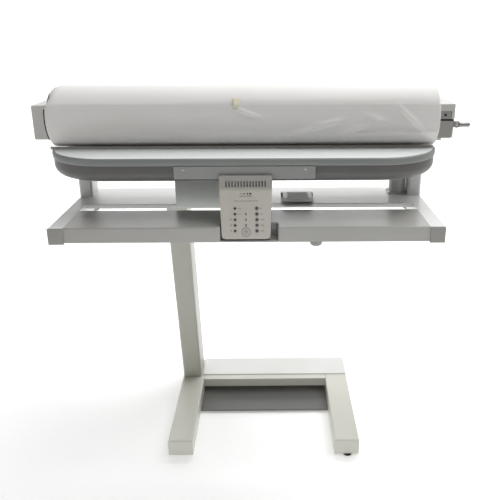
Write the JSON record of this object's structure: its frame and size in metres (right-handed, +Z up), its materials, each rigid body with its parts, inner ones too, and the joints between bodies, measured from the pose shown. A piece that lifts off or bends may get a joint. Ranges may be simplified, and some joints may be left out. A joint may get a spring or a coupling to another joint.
{
  "type": "rotary ironer",
  "caption": "Free-standing rotary ironer: cloth-covered powered roller over a lifting heated shoe, with feed board, key panel, laundry tray and a single-column stand.",
  "frame": {"origin": "on the floor, under the middle of the machine's overall box", "axes": "+X along the roller to the user's right, +Y away from the user, +Z up"},
  "size_m": [0.968, 0.432, 0.8855],
  "materials": {
    "cream_paint": "semi-gloss powder coat",
    "white_paint": "gloss enamel",
    "black_paint": "matt paint",
    "grey_paint": "satin paint",
    "white_plastic": "moulded, satin gloss",
    "grey_plastic": "moulded, fine grain",
    "trim_plastic": "extruded edge trim",
    "dark_plastic": "moulded, fine grain",
    "laminate": "smooth laminate",
    "fascia": "printed film",
    "key_plastic": "moulded keys",
    "lamp_plastic": "clear lamp windows",
    "pedal_plastic": "moulded, ribbed",
    "inlet_plastic": "moulded",
    "circuit_laminate": "solder mask",
    "cotton": "plain woven cotton",
    "felt": "needled felt",
    "rubber": "moulded rubber",
    "aluminium": "satin",
    "steel": "bright zinc plate",
    "bronze": "sintered bronze"
  },
  "bodies": {
    "machine": {"left_foot": "cream_paint", "right_foot": "cream_paint", "crossbar": "cream_paint", "column": "cream_paint", "column_head": "cream_paint", "ballast_lid": "white_paint", "tray_front_beam": "white_paint", "left_cheek": "white_paint", "right_cheek": "white_paint", "rear_shelf": "white_paint", "left_post": "white_paint", "right_post": "white_paint", "rear_beam": "white_paint", "back_panel": "white_paint", "floor_plate": "black_paint", "lift_actuator": "grey_paint", "drive_motor": "grey_paint", "cheek_caps": "white_plastic", "left_arm": "white_plastic", "left_arm_cover": "white_plastic", "right_arm": "white_plastic", "right_cap_upper": "white_plastic", "right_cap_lower": "white_plastic", "centre_cover": "grey_plastic", "pedestal": "grey_plastic", "control_pod": "grey_plastic", "board_edge": "trim_plastic", "shoe_housing": "dark_plastic", "feed_board": "laminate", "control_panel": "fascia", "indicator_lamps": "lamp_plastic", "pedal_base": "pedal_plastic", "mains_inlet": "inlet_plastic", "circuit_board": "circuit_laminate", "foot_pads": "rubber", "tray_feet": "rubber", "drive_belt": "rubber", "guide_rods": "steel", "case_screws": "steel", "roller_bushes": "bronze"},
    "roller": {"roller_tube": "aluminium", "left_end_disc": "steel", "right_end_disc": "steel", "roller_padding": "felt", "roller_cover": "cotton", "roller_pulley": "aluminium"},
    "motor_shaft": {"motor_pulley": "steel"},
    "shoe": {"heated_shoe": "aluminium", "shoe_carrier": "grey_paint", "shoe_heater": "steel", "shoe_thermostat": "steel", "lift_rod": "steel"},
    "lever": {"release_lever": "steel"},
    "treadle": {"pedal_treadle": "pedal_plastic"},
    "power_key": {"power_key": "key_plastic"},
    "programme_key_1": {"programme_key_1": "key_plastic"},
    "programme_key_2": {"programme_key_2": "key_plastic"},
    "programme_key_3": {"programme_key_3": "key_plastic"},
    "programme_key_4": {"programme_key_4": "key_plastic"},
    "programme_key_5": {"programme_key_5": "key_plastic"}
  },
  "joints": [
    {"name": "roller_spin", "type": "hinge", "parent": "machine", "child": "roller", "pos_m": [-0.015, -0.03, 0.817], "axis": [1, 0, 0], "continuous": true},
    {"name": "motor_spin", "type": "hinge", "parent": "machine", "child": "motor_shaft", "pos_m": [-0.468, 0.073, 0.817], "axis": [1, 0, 0], "continuous": true},
    {"name": "shoe_lift", "type": "slide", "parent": "machine", "child": "shoe", "axis": [0, 0, 1], "range_m": [0, 0.01]},
    {"name": "lever_swing", "type": "hinge", "parent": "machine", "child": "lever", "pos_m": [0.4598, -0.0443, 0.7975], "axis": [0, -1, 0], "range_deg": [0, 75]},
    {"name": "treadle_press", "type": "hinge", "parent": "machine", "child": "treadle", "pos_m": [0.1055, 0.005, 0.6235], "axis": [1, 0, 0], "range_deg": [0, 3.5], "stiffness_Nm_per_rad": 2, "springref_deg": -3.44},
    {"name": "power_key_press", "type": "slide", "parent": "machine", "child": "power_key", "axis": [0, 0.9772, -0.2121], "range_m": [0, 0.0008], "stiffness_N_per_m": 600, "springref_m": -0.001},
    {"name": "programme_key_1_press", "type": "slide", "parent": "machine", "child": "programme_key_1", "axis": [0, 0.9772, -0.2121], "range_m": [0, 0.0008], "stiffness_N_per_m": 600, "springref_m": -0.001},
    {"name": "programme_key_2_press", "type": "slide", "parent": "machine", "child": "programme_key_2", "axis": [0, 0.9772, -0.2121], "range_m": [0, 0.0008], "stiffness_N_per_m": 600, "springref_m": -0.001},
    {"name": "programme_key_3_press", "type": "slide", "parent": "machine", "child": "programme_key_3", "axis": [0, 0.9772, -0.2121], "range_m": [0, 0.0008], "stiffness_N_per_m": 600, "springref_m": -0.001},
    {"name": "programme_key_4_press", "type": "slide", "parent": "machine", "child": "programme_key_4", "axis": [0, 0.9772, -0.2121], "range_m": [0, 0.0008], "stiffness_N_per_m": 600, "springref_m": -0.001},
    {"name": "programme_key_5_press", "type": "slide", "parent": "machine", "child": "programme_key_5", "axis": [0, 0.9772, -0.2121], "range_m": [0, 0.0008], "stiffness_N_per_m": 600, "springref_m": -0.001}
  ],
  "couplings": [
    {"joint": "motor_spin", "follows": "roller_spin", "ratio": 2}
  ]
}
